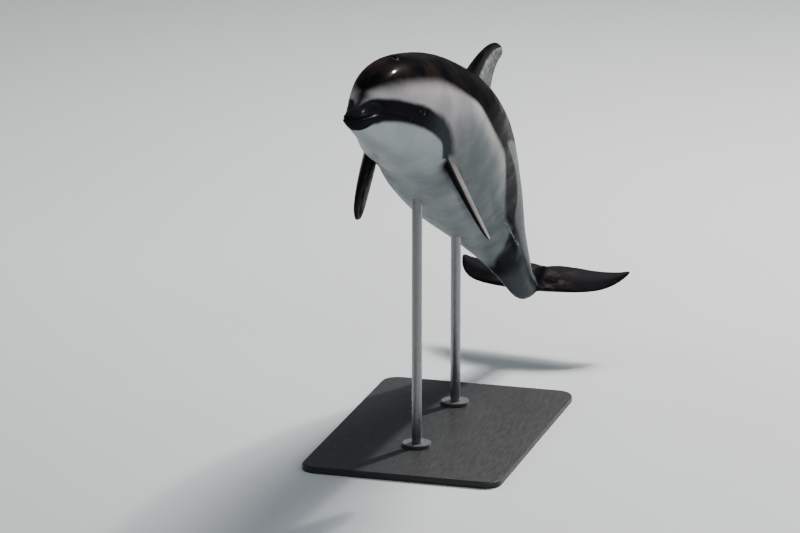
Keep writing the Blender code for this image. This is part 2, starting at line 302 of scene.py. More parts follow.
# Bells: height, distance of the middle and width in metres
LIPS = (-0.0021, 0.0, 0.0011), (0.0011, 0.0045, 0.0032), (0.0016, -0.0050, 0.0040)
MOUTH_CORNER = (-0.0010, 0.0, 0.0050), (0.0009, 0.0110, 0.0050)
NAVEL = (-0.0022, 0.0, 0.0070), (0.0008, 0.0120, 0.0060)
SLIT = (-0.0032, 0.0, 0.0030), (0.0011, 0.0075, 0.0045)
VENT = (-0.0026, 0.0, 0.0042), (0.0008, 0.0085, 0.0045)
LID_FOLDS = (0.0011, 0.0035, 0.0024), (-0.0012, 0.0072, 0.0016), (0.0006, 0.0105, 0.0028)
CREASE = ((-0.0021, 0.0, 0.0085),)
NAVEL_STATION, SLIT_STATION, VENT_STATION, SLIT_HALF_LENGTH = 0.475, 0.648, 0.703, 0.016
FOLD_HEIGHT, FOLD_START, FOLD_TURN = 0.0012, 0.09, 52.0


def bells(distance, table):
    """Sum of a table's bells of the distance."""
    return sum(height * bump(distance - middle, width) for height, middle, width in table)


def relief(station, angle):
    """Height of the small forms over the plain surface, in metres: bells for the lips, the mouth's corner,
    the crease between melon and beak, navel, slit and vent, and a sine for the throat's folds."""
    turn = folded(angle)
    gap = section(station, turn)[1] - LENGTH * smooth(station, MOUTH, 1)
    corner = np.hypot((station - GAPE) * LENGTH, gap)
    height = bells(gap, LIPS) * (1 - ease(GAPE - 0.008, GAPE + 0.001, station)) + bells(corner, MOUTH_CORNER)
    crease = 0.0335 + 0.0150 * ease(1.1, 0.1, turn)
    height = height + bells((station - crease) * LENGTH, CREASE) * ease(-0.05, 0.45, turn)
    throat = ease(-0.30, -0.60, turn) * ease(0.05, 0.09, station) * (1 - ease(0.165, 0.20, station))
    height = height + FOLD_HEIGHT * throat * np.sin((station - FOLD_START) * FOLD_TURN)
    side = np.abs(turn + math.pi / 2) * 0.12
    slit = np.maximum(np.abs(station - SLIT_STATION) - SLIT_HALF_LENGTH, 0)
    for distance, form in ((station - NAVEL_STATION, NAVEL), (slit, SLIT), (station - VENT_STATION, VENT)):
        height = height + bells(np.hypot(distance * LENGTH, side), form)
    return height


def surface(station, angle):
    """The skin of the body: the plain surface moved along its normal by the relief."""
    return plain(station, angle) + plain_normal(station, angle) * relief(station, angle)[..., None]


# ---- the grid of stations and angles
def row_stations():
    """Stations whose spacing follows ROW_SPACING: its inverse is summed, then cut in equal steps."""
    fine = np.linspace(0.0, TAIL_END, 20001)
    spacing = np.interp((fine[1:] + fine[:-1]) / 2, *np.array(ROW_SPACING).T)
    count = np.concatenate([[0.0], np.cumsum(LENGTH * np.diff(fine) / spacing)])
    return np.interp(np.linspace(0, count[-1], int(round(count[-1])) + 1), count, fine)


ROWS = row_stations()
ROWS[0] = 0.00004
COLUMNS = 2 * SIDE_CELLS
MOUTH_END = 0.115  # station where the column line leaves the mouth's line
MOUTH_SLOPE, BELLY_SLOPE, BACK_SLOPE = 0.22, 0.9, 0.75  # spacing of the head's columns, one where even


def column_angles(station):
    """Angles of the column lines at each station: two cubics that meet on the mouth's line, where the lines
    crowd together on the head and are evenly spaced further back."""
    back, belly, _, _ = outline(station)
    mouth = LENGTH * smooth(np.minimum(station, MOUTH_END), MOUTH, 1)
    on_mouth = np.arcsin(np.clip((2 * mouth - back - belly) / np.maximum(back - belly, 1e-5), -0.95, 0.95))
    share = MOUTH_COLUMN / SIDE_CELLS
    even = -math.pi / 2 + math.pi * share
    blend = ease(0.10, 0.30, station)
    focus = on_mouth * (1 - blend) + even * blend
    lower, upper = (focus + math.pi / 2) / share, (math.pi / 2 - focus) / (1 - share)
    spread = ease(0.09, 0.26, station)
    middle = MOUTH_SLOPE * lower * (1 - spread) + math.pi * spread
    bottom = BELLY_SLOPE * lower * (1 - spread) + math.pi * spread
    top = BACK_SLOPE * upper * (1 - spread) + math.pi * spread
    q = np.arange(SIDE_CELLS + 1) / SIDE_CELLS

    def cubic(t, first, last, start, end, size):
        """Cubic from first to last whose end slopes are given."""
        a, b = start * size, end * size
        return first + a * t + (3 * (last - first) - 2 * a - b) * t**2 + (a + b - 2 * (last - first)) * t**3

    focus, bottom, middle, top = (v[:, None] for v in (focus, bottom, middle, top))
    below = cubic((q / share)[None, : MOUTH_COLUMN + 1], -math.pi / 2, focus, bottom, middle, share)
    upper_q = ((q - share) / (1 - share))[None, MOUTH_COLUMN + 1 :]
    above = cubic(upper_q, focus, math.pi / 2, middle, top, 1 - share)
    left = np.hstack([below, above])
    return np.hstack([left, math.pi - left[:, -2:0:-1]])


ANGLES = column_angles(ROWS)
GRID_S = np.repeat(ROWS[:, None], COLUMNS, axis=1)


def nearest_row(station):
    """Number of the row whose station is nearest."""
    return int(np.argmin(np.abs(ROWS - station)))


def nearest_column(row, degrees):
    """Number of the left side's column whose angle on the row is nearest."""
    return int(np.argmin(np.abs(ANGLES[row, : SIDE_CELLS + 1] - math.radians(degrees))))


def window(first_row, last_row, first_column, last_column):
    """Rows and columns of the loop round a window, from the middle of its front side towards higher columns.
    Its two halves have the same count, and its middle is the middle of the rear side."""
    middle = (first_column + last_column) // 2
    rows, columns = np.arange(first_row, last_row), np.arange(first_column, last_column)
    row = np.concatenate([
        np.full(last_column - middle, first_row), rows, np.full(len(columns), last_row), rows[::-1] + 1,
        np.full(middle - first_column, first_row),
    ])
    column = np.concatenate([
        np.arange(middle, last_column), np.full(len(rows), last_column), columns[::-1] + 1,
        np.full(len(rows), first_column), np.arange(first_column, middle),
    ])
    return row, column % COLUMNS


# ---- fins
def fin_section(table, share, x):
    """Chord place and half thickness of a fin at a span share: the root of the chord share times what is
    left of it, plus the edge's own thickness, and a quarter ellipse that rounds the tip."""
    leading, trailing, half = (smooth(share, table, column) for column in (1, 2, 3))
    into_tip = np.clip((share - ROUND_TIP) / (1 - ROUND_TIP), 0, 1)
    end = np.sqrt(np.clip(1 - into_tip**2, 0.0004, 1.0))
    middle = (leading + trailing) / 2
    chord = middle + (leading + (trailing - leading) * x - middle) * end
    thick = half * PROFILE_SCALE * np.sqrt(x) * (1 - x) + FIN_EDGE * np.minimum(1.0, x * 9)
    return chord, thick * (TIP_THICKNESS + (1 - TIP_THICKNESS) * end)


def dorsal_point(share, x, side):
    """Point of the dorsal fin: the section stands up from the back by the share of its height."""
    chord, thick = fin_section(DORSAL, share, x)
    root = outline(np.array(DORSAL_STATION + 0.07))[0] - 0.006
    return place(DORSAL_STATION + chord / LENGTH, -side * thick, root + DORSAL_HEIGHT * share)


def flipper_frame(side):
    """Shoulder point and the span, chord and thickness directions of a flipper; the chord's part along the
    span is taken out, and the thickness is their cross product."""
    (station, out, up), *directions = FLIPPER_LEFT if side > 0 else FLIPPER_RIGHT
    aft, leftward, upward = axes(np.array(station))
    span, chord = (aft * d[0] + leftward * side * d[1] + upward * d[2] for d in directions)
    span = unit(span)
    chord = unit(chord - span * (chord @ span))
    return place(station, side * out * LENGTH, up * LENGTH), span, chord, np.cross(span, chord)


def flipper_point(which):
    """The point function of the left (1) or right (-1) flipper."""
    shoulder_point, span, chord_way, normal = flipper_frame(which)

    def point(share, x, side):
        """Point of a flipper: the section runs out along the span from the shoulder."""
        chord, thick = fin_section(FLIPPER, share, x)
        out = shoulder_point + span * (FLIPPER_SPAN * share)[..., None] + chord_way * chord[..., None]
        return out + normal * (side * thick)[..., None]

    return point


def fluke_point(which):
    """The point function of the left (1) or right (-1) fluke."""

    def point(share, x, side):
        """Point of a fluke: the section lies flat beside the notch and follows the tail's pitch."""
        chord, thick = fin_section(FLUKE, share, x)
        return place(NOTCH_STATION + chord / LENGTH, which * FLUKE_HALF_SPAN * share, side * which * thick)

    return point


def over_body(points, guess):
    """Positive where points are outside the plain body, negative inside, roughly in metres; then each
    point's station and its left and up on the section, with thinning and swelling undone."""
    station, left, up = unplace(points, guess)
    back, belly, half_width, ridge = outline(station)
    thin = wedge(station, 1e-6)
    half_height = np.maximum((back - belly) / 2, 1e-6)
    up = (up - (back + belly) / 2) / thin
    left = left / (CORE_WIDTH + (1 - CORE_WIDTH) * thin)
    angle = np.arctan2(up / half_height, left / np.maximum(half_width, 1e-6))
    swell = shoulder(station, angle)
    left, up = left - swell * np.cos(angle), up - swell * np.sin(angle)
    sine = up / half_height
    inner = np.sqrt(np.clip(1 - sine**2, 0, 1)) * (1 - ridge * np.clip(sine, -1, 1) ** 2) * half_width
    over = np.where(np.abs(sine) < 1, np.abs(left) - inner, (np.abs(sine) - 1) * 0.05 + 1e-5)
    return over, station, left, up


def leaving_share(point, x, side, guess):
    """Span shares where the lines of a fin leave the body, by bisection."""
    low, high = np.full(len(x), -0.20), np.full(len(x), 0.6)
    for _ in range(26):
        middle = (low + high) / 2
        out = over_body(point(middle, x, side), guess)[0] > 0
        low, high = np.where(out, low, middle), np.where(out, middle, high)
    return (low + high) / 2


def fin_loops(point, loop, fillet, cells):
    """Closed loops of a fin from a window's edge to the tip. Round the loop the chord share runs as a cosine
    to the trailing edge and back. A cubic Bezier joins the window's edge to each line of the fin a little
    beyond where the line leaves the body; the loops after it are closer together towards the tip."""
    n = len(loop[0])
    half = n // 2
    k = np.arange(n)
    j = np.minimum(k, n - k)
    x = (1 - np.cos(math.pi * j / half)) / 2
    side = np.where(k < half, 1.0, -1.0) * ((j > 0) & (j < half))
    leave = leaving_share(point, x, side, GRID_S[loop])
    corner = point(leave, x, side)
    edge = SURFACE[loop]
    turned = (k[:, None] + k) % n
    best = turned[np.argmin(((edge[turned] - corner) ** 2).sum((1, 2)))]
    loop = tuple(part[best] for part in loop)
    edge, normals = SURFACE[loop], NORMALS[loop]
    root, tip = (point(np.array(share), np.array(0.5), np.array(0)) for share in (0.0, 1.0))
    reach = leave + fillet / np.linalg.norm(tip - root)
    start = point(reach, x, side)
    toward = corner - edge
    toward = toward - normals * (toward * normals).sum(-1, keepdims=True)
    first_control = edge + toward * FILLET_PULL
    last_control = start + (corner - start) * FILLET_PULL
    t = (np.arange(1, FILLET_CELLS) / FILLET_CELLS)[:, None, None]
    blend = edge * (1 - t) ** 3 + first_control * 3 * t * (1 - t) ** 2 + last_control * 3 * t * t * (1 - t)
    blend = blend + start * t**3
    out = np.linspace(0, 1, cells + 1)[:, None]
    out = out + 0.12 * np.sin(math.pi * out) * (0.5 - 0.5 * out)
    near_tip = 1 - (1 - out) ** TIP_POWER / (1 - TIP_START) ** (TIP_POWER - 1)
    out = np.clip(np.where(out > TIP_START, near_tip, out), 0, 1)
    shares = reach + (1 - reach) * out
    points = np.concatenate([blend, point(shares, x, side)])
    on_fin = np.concatenate([t[:, :, 0] + 0 * x, np.ones(shares.shape)])
    shares = np.concatenate([t[:, :, 0] * 0 + leave, shares])
    return loop, points, on_fin, x, side, shares


# ---- eyes and blowhole
LID_LENGTH, LID_ABOVE, LID_BELOW = 0.0120, 0.0076, 0.0066  # half length of the opening, height up and down
LENS_POWER, LENS_SQUASH, LID_TILT = 1.3, 0.75, -0.10
LID_START, LID_THICKNESS, LID_LOWEST = 0.0009, 0.0015, -0.0014
LID_BLEND = 0.0006, 0.0075  # metres from the rim over which the lid turns into skin
LID_LOOPS, LID_CROWDING = 14, 1.6
SOCKET = (0.75, -0.0085), (0.30, -0.0100)  # share of the opening, height


def local_frame(station, angle):
    """Point on the plain surface with its aft, upward and outward unit vectors, then metres per station and
    per radian, from differences."""
    station, angle = np.array(station), np.array(angle)
    along = (plain(station + 0.002, angle) - plain(station - 0.002, angle)) / 0.004
    around = (plain(station, angle + 0.01) - plain(station, angle - 0.01)) / 0.02
    normal = plain_normal(station, angle)
    aft = unit(along)
    upward = unit(around - aft * (around @ aft))
    return plain(station, angle), aft, upward, normal, np.linalg.norm(along), np.linalg.norm(around)


def eye_angle(side):
    """Section angle of the eye's middle on the left or right side, by the arc sine of its height."""
    back, belly, _, _ = outline(np.array(EYE_STATION))
    angle = math.asin((2 * EYE_HEIGHT * LENGTH - back - belly) / (back - belly))
    return angle if side > 0 else math.pi - angle


def ball_height(x, y):
    """Height of the eyeball's front over the plain surface: a sphere's cap."""
    return EYE_PROUD - EYE_RADIUS + np.sqrt(np.maximum(EYE_RADIUS**2 - x**2 - y**2, 1e-9))


LID_EDGE = (  # growth of the lens outline and height over the eyeball, from the lid's edge round and in
    (0.0004, 0.00150), (-0.0001, 0.00125), (-0.0005, 0.00075), (-0.0006, 0.0001), (-0.0004, -0.0009),
    (0.0002, -0.0022),
)


def eye_loops(loop, side):
    """Closed loops from a window's edge over the eyelid's folds to its rim, round it and in behind the
    eyeball. The rim is a lens, a cosine along and a power of a sine across. The folds are bells of the
    distance from it, and the lid stands a skin's thickness over the eyeball."""
    angle0 = eye_angle(side)
    origin, aft, upward, normal, per_station, per_angle = local_frame(EYE_STATION, angle0)
    station, angle = GRID_S[loop], ANGLES[loop]
    x0, y0 = (station - EYE_STATION) * per_station, (angle - angle0) * per_angle
    way = np.arctan2(y0 / LENS_SQUASH, x0)
    rise = np.where(np.sin(way) * side >= 0, LID_ABOVE, LID_BELOW)
    cosine, sine = math.cos(LID_TILT * side), math.sin(LID_TILT * side)

    def rim(grow):
        """Lens outline grown by some metres, tilted nose-down."""
        x = (LID_LENGTH + grow) * np.cos(way)
        y = (rise + grow) * np.sign(np.sin(way)) * np.abs(np.sin(way)) ** LENS_POWER
        return x * cosine - y * sine, x * sine + y * cosine

    def raised(x, y, height):
        """Points at heights over the tangent plane."""
        return origin + x[:, None] * aft + y[:, None] * upward + np.reshape(height, (-1, 1)) * normal

    flat, points = [], []
    xr, yr = rim(LID_START)
    for q in 1 - (1 - np.arange(1, LID_LOOPS + 1) / (LID_LOOPS + 1)) ** LID_CROWDING:
        x, y = x0 + (xr - x0) * q, y0 + (yr - y0) * q
        d = np.hypot(x - xr, y - yr)
        local = surface(EYE_STATION + x / per_station, angle0 + y / per_angle) - origin
        lx, ly, lz = local @ aft, local @ upward, local @ normal
        fold = ease(0.0, 0.35, q) * bells(d, LID_FOLDS)
        lid = np.maximum(ball_height(lx, ly) + LID_THICKNESS, LID_LOWEST)
        near = 1 - ease(*LID_BLEND, d)
        flat.append((x, y))
        points.append(raised(lx, ly, (lz + fold) * (1 - near) + lid * near))
    for grow, over in LID_EDGE:
        x, y = rim(grow)
        flat.append((x, y))
        points.append(raised(x, y, np.maximum(ball_height(x, y), -0.0029) + over))
    for share, height in SOCKET:
        x, y = (v * share for v in rim(0.0))
        flat.append((x, y))
        points.append(raised(x, y, height))
    x, y = np.array(flat).transpose(1, 0, 2)
    return np.array(points), EYE_STATION + x / per_station, angle0 + y / per_angle


BLOWHOLE_SWEEP = math.radians(66)
ARC_AHEAD = BLOWHOLE_RADIUS * 0.6  # how far the arc's centre lies ahead of the blowhole's station
BLOWHOLE_LIP, BLOWHOLE_LOOPS, BLOWHOLE_CROWDING = 0.0070, 8, 1.3
SIDE_SHARE = 0.40  # of the half loop, for the inner and again for the outer side
RAISED_LIP, OUTER_DIP = ((0.0014, 0.0056, 0.0024),), ((-0.0010, 0.0105, 0.0032),)
BLOWHOLE_RINGS = (  # metres from the crescent's middle line, height
    (0.0062, 0.0), (0.0055, 0.0), (0.0049, 0.0), (0.0044, -0.0002), (0.0040, -0.0008), (0.0037, -0.0019),
    (0.0034, -0.0040), (0.0028, -0.0068), (0.0018, -0.0086), (0.0006, -0.0092),
)
*_, BLOWHOLE_PER_STATION, BLOWHOLE_PER_ANGLE = local_frame(BLOWHOLE_STATION, math.pi / 2)


def blowhole_loops(loop):
    """Closed loops round an open crescent, concave towards the beak: straight in from the window's edge,
    then at set distances round an arc. Bells of the distance raise the lip, and the rings' depths make the
    walls and the floor."""
    station, angle = GRID_S[loop], ANGLES[loop]
    x0, y0 = (station - BLOWHOLE_STATION) * BLOWHOLE_PER_STATION, (angle - math.pi / 2) * BLOWHOLE_PER_ANGLE
    n = len(station)
    k = np.arange(n)
    share = np.minimum(k, n - k) / (n // 2)
    sign = np.where(k <= n // 2, 1.0, -1.0)

    def crescent(d):
        """Outline at a distance round the arc: inner side, half circle round the end, outer side."""
        inner = np.clip(share / SIDE_SHARE, 0, 1)
        outer = np.clip((share - 1 + SIDE_SHARE) / SIDE_SHARE, 0, 1)
        turn = np.clip((share - SIDE_SHARE) / (1 - 2 * SIDE_SHARE), 0, 1) * math.pi
        psi = BLOWHOLE_SWEEP * (inner - outer)
        radius = BLOWHOLE_RADIUS - d * np.cos(turn)
        x = radius * np.cos(psi) - d * np.sin(turn) * np.sin(psi)
        y = radius * np.sin(psi) + d * np.sin(turn) * np.cos(psi)
        return x - ARC_AHEAD, y * sign

    points, flat = [], []

    def add_loop(x, y, height):
        """Adds a loop at a height over the skin."""
        s, a = BLOWHOLE_STATION + x / BLOWHOLE_PER_STATION, math.pi / 2 + y / BLOWHOLE_PER_ANGLE
        points.append(surface(s, a) + plain_normal(s, a) * np.reshape(height, (-1, 1)))
        flat.append((s, a))

    xr, yr = crescent(BLOWHOLE_LIP)
    for q in 1 - (1 - np.arange(1, BLOWHOLE_LOOPS + 1) / BLOWHOLE_LOOPS) ** BLOWHOLE_CROWDING:
        x, y = x0 + (xr - x0) * q, y0 + (yr - y0) * q
        d = np.hypot(x - xr, y - yr) + BLOWHOLE_LIP
        add_loop(x, y, bells(d, RAISED_LIP) + bells(d, OUTER_DIP) * ease(0, 0.5, q))
    for d, height in BLOWHOLE_RINGS:
        add_loop(*crescent(d), bells(d, RAISED_LIP) + bells(d, OUTER_DIP) + height)
    station, angle = np.array(flat).transpose(1, 0, 2)
    return np.array(points), station, angle


# ---- the skin mesh
SURFACE = surface(GRID_S, ANGLES)
NORMALS = plain_normal(GRID_S, ANGLES)


def fin_window(point, guess, margin):
    """Rows and columns round a fin's root: the extent of the points where it leaves the body, with a margin
    in metres. Their angle is the arc sine of their height."""
    x = np.tile((1 - np.cos(math.pi * np.arange(41) / 40)) / 2, 2)
    side = np.repeat([1.0, -1.0], 41)
    guess = np.full(82, guess)
    root = point(leaving_share(point, x, side, guess), x, side)
    _, station, left, up = over_body(root, guess)
    back, belly, _, _ = outline(station)
    angle = np.arcsin(np.clip((2 * up - back - belly) / (back - belly), -1, 1))
    angle = np.where(left >= 0, angle, math.pi - angle)
    first = nearest_row(station.min() - margin / LENGTH)
    last = nearest_row(min(station.max() + margin / LENGTH, LAST_ROOT_STATION))
    row = (first + last) // 2
    cells = int(round(margin / np.linalg.norm(SURFACE[row, 1] - SURFACE[row, 0])))
    low, high = np.searchsorted(np.append(ANGLES[row], 1.5 * math.pi), [angle.min(), angle.max()])
    return (first, last), (int(low) - cells - 1, int(high) + cells)


class SkinMesh:
    """Points, faces and marks of the one skin. A point's marks are station, turn, share of fin, chord, span,
    kind of fin and face of the fin."""

    def __init__(self):
        """Starts with the whole grid, whose marks past station and turn are zero."""
        self.index = np.arange(GRID_S.size).reshape(GRID_S.shape)
        self.points = [SURFACE.reshape(-1, 3)]
        self.count = GRID_S.size
        self.marks = [np.stack([GRID_S.ravel(), folded(ANGLES).ravel(), *np.zeros((5, self.count))], -1)]
        self.solid = np.ones((len(ROWS) - 1, COLUMNS), bool)
        self.quads, self.triangles = [], []

    def add(self, points, marks):
        """Adds points with their marks and returns their numbers in the same layout."""
        start = self.count
        self.points.append(points.reshape(-1, 3))
        self.marks.append(marks.reshape(-1, marks.shape[-1]))
        self.count += points[..., 0].size
        return np.arange(start, self.count).reshape(points.shape[:-1])

    def strips(self, rings):
        """Quads between neighbouring closed rings of equal count: each pair with the next pair."""
        a, b = rings[:-1], rings[1:]
        self.quads.append(np.stack([a, np.roll(a, -1, 1), np.roll(b, -1, 1), b], -1).reshape(-1, 4))

    def zip_shut(self, ring):
        """Closes a flat ring by joining each vertex to the one across from it, n less its number."""
        n = len(ring)
        half = n // 2
        k = np.arange(1, half - 1)
        self.quads.append(np.stack([ring[k], ring[k + 1], ring[n - k - 1], ring[n - k]], -1))
        self.triangles.append(ring[[[0, 1, n - 1], [half - 1, half, half + 1]]])

    def cut(self, rows, columns):
        """Takes a window with an even count of columns out of the grid and returns its loop."""
        columns = (columns[0], columns[1] + (columns[1] - columns[0]) % 2)
        self.solid[rows[0] : rows[1], np.arange(*columns) % COLUMNS] = False
        return window(*rows, *columns)

    def grid_quads(self):
        """The quads of the grid's cells that are left."""
        row, column = np.nonzero(self.solid)
        after = (column + 1) % COLUMNS
        corners = (row, column), (row, after), (row + 1, after), (row + 1, column)
        self.quads.append(np.stack([self.index[corner] for corner in corners], -1))

    def grow(self, loop, points, marks):
        """Joins loops of new points to a window's loop and shuts the last one."""
        marks = np.stack(np.broadcast_arrays(*marks), -1)
        rings = self.add(points, marks)
        self.strips(np.vstack([self.index[loop], rings]))
        self.zip_shut(rings[-1])

    def fin(self, kind, point, rows, columns, fillet, cells, which=1.0):
        """Grows a fin out of a window; which is -1 for a right flipper or fluke."""
        loop, points, on_fin, x, side, share = fin_loops(point, self.cut(rows, columns), fillet, cells)
        marks = GRID_S[loop], folded(ANGLES[loop]), on_fin, x, share, float(kind), side * which
        self.grow(loop, points, marks)

    def patch(self, loops, rows, columns, *more):
        """Fills a window with the loops that a function gives for it."""
        loop = self.cut(rows, columns)
        points, station, angle = loops(loop, *more)
        self.grow(loop, points, (station, folded(angle), 0.0, 0.0, 0.0, 0.0, 0.0))


def sided(low, high, side):
    """A span of columns on the left side, or its mirror image."""
    return (low, high) if side > 0 else (COLUMNS - high, COLUMNS - low)


skin = SkinMesh()
DORSAL_KIND, FLIPPER_KIND, FLUKE_KIND = 1.0, 2.0, 3.0
rows, _ = fin_window(dorsal_point, guess=0.52, margin=0.020)
columns = SIDE_CELLS - 6, SIDE_CELLS + 6
skin.fin(DORSAL_KIND, dorsal_point, rows, columns, fillet=0.016, cells=36)
for side in (1, -1):
    rows, columns = fin_window(flipper_point(side), guess=0.25, margin=0.010)
    skin.fin(FLIPPER_KIND, flipper_point(side), rows, columns, fillet=0.012, cells=46, which=side)
    rows, _ = fin_window(fluke_point(side), guess=0.95, margin=0.004)
    columns = sided(nearest_column(rows[0], -46), nearest_column(rows[0], 26), side)
    skin.fin(FLUKE_KIND, fluke_point(side), rows, columns, fillet=0.010, cells=38)

rows = nearest_row(EYE_STATION - 0.0145), nearest_row(EYE_STATION + 0.0160)
row = nearest_row(EYE_STATION)
low, high = nearest_column(row, -17.5), nearest_column(row, 7.5)
for side in (1, -1):
    skin.patch(eye_loops, rows, sided(low, high, side), side)
rows = nearest_row(BLOWHOLE_STATION - 0.0150), nearest_row(BLOWHOLE_STATION + 0.0165)
low = nearest_column(nearest_row(BLOWHOLE_STATION), 53)
skin.patch(blowhole_loops, rows, (low, COLUMNS - low))

skin.grid_quads()
beak_tip = place(0.0, 0.0, OUTLINE[0][1] * LENGTH) + axes(np.array(0.0))[0] * 0.0012
tip = skin.add(beak_tip[None, :], np.array([[0.0, -1.5, 0, 0, 0, 0, 0]]))[0]
first = skin.index[0]
skin.triangles.append(np.stack([np.full(COLUMNS, tip), np.roll(first, -1), first], -1))
skin.zip_shut(skin.index[-1])

QUADS, TRIANGLES = (np.concatenate(faces)[:, ::-1] for faces in (skin.quads, skin.triangles))
used, compact = np.unique(np.concatenate([QUADS.ravel(), TRIANGLES.ravel()]), return_inverse=True)
POINTS, MARKS = np.concatenate(skin.points)[used], np.concatenate(skin.marks)[used]
QUADS, TRIANGLES = compact[: QUADS.size].reshape(-1, 4), compact[QUADS.size :].reshape(-1, 3)


def make_mesh(name, points, quads, triangles):
    """Mesh object from arrays of points, quads and triangles, shaded smooth."""
    mesh = bpy.data.meshes.new(name)
    loops = np.concatenate([quads.ravel(), triangles.ravel()]).astype(np.int32)
    sizes = np.concatenate([np.full(len(quads), 4), np.full(len(triangles), 3)]).astype(np.int32)
    mesh.vertices.add(len(points))
    mesh.vertices.foreach_set("co", points.astype(np.float32).ravel())
    mesh.loops.add(len(loops))
    mesh.loops.foreach_set("vertex_index", loops)
    mesh.polygons.add(len(sizes))
    mesh.polygons.foreach_set("loop_start", np.concatenate([[0], np.cumsum(sizes)[:-1]]).astype(np.int32))
    mesh.polygons.foreach_set("use_smooth", np.ones(len(sizes), bool))
    mesh.update(calc_edges=True)
    mesh.validate()
    piece = bpy.data.objects.new(name, mesh)
    bpy.context.scene.collection.objects.link(piece)
    return piece


def give(piece, name, values):
    """A float attribute on the points of a piece."""
    layer = piece.data.attributes.new(name, "FLOAT", "POINT")
    layer.data.foreach_set("value", np.asarray(values, np.float32))


# ---- markings, as metres from their edges
CAPE_EDGE = (  # station, lowest angle of the dark back, degrees
    (0.000, 40), (0.028, 64), (0.0375, 69), (0.042, 68), (0.047, 60), (0.059, 45), (0.073, 36), (0.090, 31),
    (0.111, 28.5), (0.141, 28), (0.168, 28.5), (0.194, 28.5), (0.218, 26.5), (0.250, 24), (0.285, 22),
    (0.328, 14), (0.360, 9), (0.400, 6), (0.435, 3), (0.470, -3), (0.500, -9), (0.545, -17), (0.578, -22),
    (0.630, -27), (0.660, -28), (0.700, -24), (0.760, -14), (0.830, -12), (0.900, -14), (0.985, -10),
)
STRIPE_TOP = (  # upper edge of the dark lip, the eye patch and the stripe back to the flipper
    (0.000, 88), (0.020, 84), (0.0335, 63), (0.041, 44), (0.050, 29), (0.060, 19.5), (0.084, 9),
    (0.109, 4.5), (0.131, 1.5), (0.160, -3), (0.190, -8), (0.205, -14), (0.221, -22), (0.240, -31),
    (0.260, -38),
)
WHITE_EDGE = (  # upper edge of the pale throat and belly
    (0.000, -125), (0.012, -115), (0.018, -84), (0.0225, -52), (0.028, -32), (0.041, -24), (0.068, -23),
    (0.097, -22.5), (0.123, -24), (0.147, -25.5), (0.1745, -27.5), (0.198, -32), (0.2155, -40.5),
    (0.235, -48), (0.270, -52), (0.340, -53), (0.450, -55), (0.560, -59), (0.650, -64), (0.710, -76),
    (0.760, -94), (0.800, -110), (0.985, -110),
)
BLAZE = (  # station, lower and upper edge of the pale flank blaze over the dark streak
    (0.400, 22, 6), (0.440, 14, 10), (0.460, 11, 14), (0.520, 7, 22), (0.588, 3, 25), (0.630, 0, 25),
    (0.658, -5, 26), (0.680, -14, 26), (0.710, -16, 27), (0.760, -12, 27), (0.830, -6, 26), (0.880, 0, 22),
    (0.920, 10, 12),
)
STRIPE_END, BLAZE_START, BLAZE_END, UNDER_TAIL_START = 0.245, 0.45, 0.93, 0.70
BLOW_SPREAD = 0.0886  # metres per radian round the section at the blowhole


def markings():
    """Fields that are positive inside each marking: the angle past its edge times the section's mean radius,
    or the distance past its end. A field divided by more than one fades over a wider band. The field blow is
    the distance from the blowhole's arc."""
    station, turn, on_fin, chord, span, kind, face = MARKS.T
    degrees = np.degrees(turn)
    back, belly, half_width, _ = outline(station)
    metres = np.radians(1.0) * np.sqrt(np.maximum(half_width * (back - belly) / 2, 4e-4))
    cape = (degrees - smooth(station, CAPE_EDGE, 1)) * metres / (1.0 + 1.1 * ease(0.25, 0.19, station))
    stripe = (smooth(np.minimum(station, STRIPE_TOP[-1][0]), STRIPE_TOP, 1) - degrees) * metres
    stripe = np.minimum(stripe, (STRIPE_END - station) * LENGTH) / (1.0 + 2.2 * ease(0.135, 0.21, station))
    white = (smooth(station, WHITE_EDGE, 1) - degrees) * metres / (1.0 + 3.0 * ease(0.40, 0.60, station))
    blaze = np.minimum(degrees - smooth(station, BLAZE, 1), smooth(station, BLAZE, 2) - degrees) * metres
    ends = np.minimum(station - BLAZE_START, BLAZE_END - station) * LENGTH
    front = UNDER_TAIL_START + 0.035 * ease(22.0, 52.0, -degrees) + 0.03 * ease(50.0, 80.0, -degrees)
    across = (turn - math.pi / 2) * BLOW_SPREAD
    ahead = (station - BLOWHOLE_STATION) * LENGTH + ARC_AHEAD
    arc = np.clip(np.arctan2(across, ahead), -BLOWHOLE_SWEEP, BLOWHOLE_SWEEP)
    return {
        "station": station,
        "turn": degrees / 90.0,
        "cape": cape,
        "stripe": stripe,
        "white": white,
        "blaze": np.minimum(blaze, ends),
        # the dark under the tail stock: partly the animal's dark marking, partly painted shade
        "under_tail": np.minimum((station - front) * LENGTH, (-13.0 - degrees) * metres),
        "blow": np.hypot(ahead - BLOWHOLE_RADIUS * np.cos(arc), across - BLOWHOLE_RADIUS * np.sin(arc)),
        "fin": on_fin,
        "chord": chord,
        "pale_rear": np.where(kind == DORSAL_KIND, (chord - 0.27 - 0.16 * span**3) * 0.2, -0.05),
        "outer_face": np.where(kind == FLIPPER_KIND, face, -1.0),
        "fluke_root": np.where(kind == FLUKE_KIND, 0.50 - span, -0.5) * on_fin,
    }


body = make_mesh("dolphin_skin", POINTS, QUADS, TRIANGLES)
for name, values in markings().items():
    give(body, name, values)


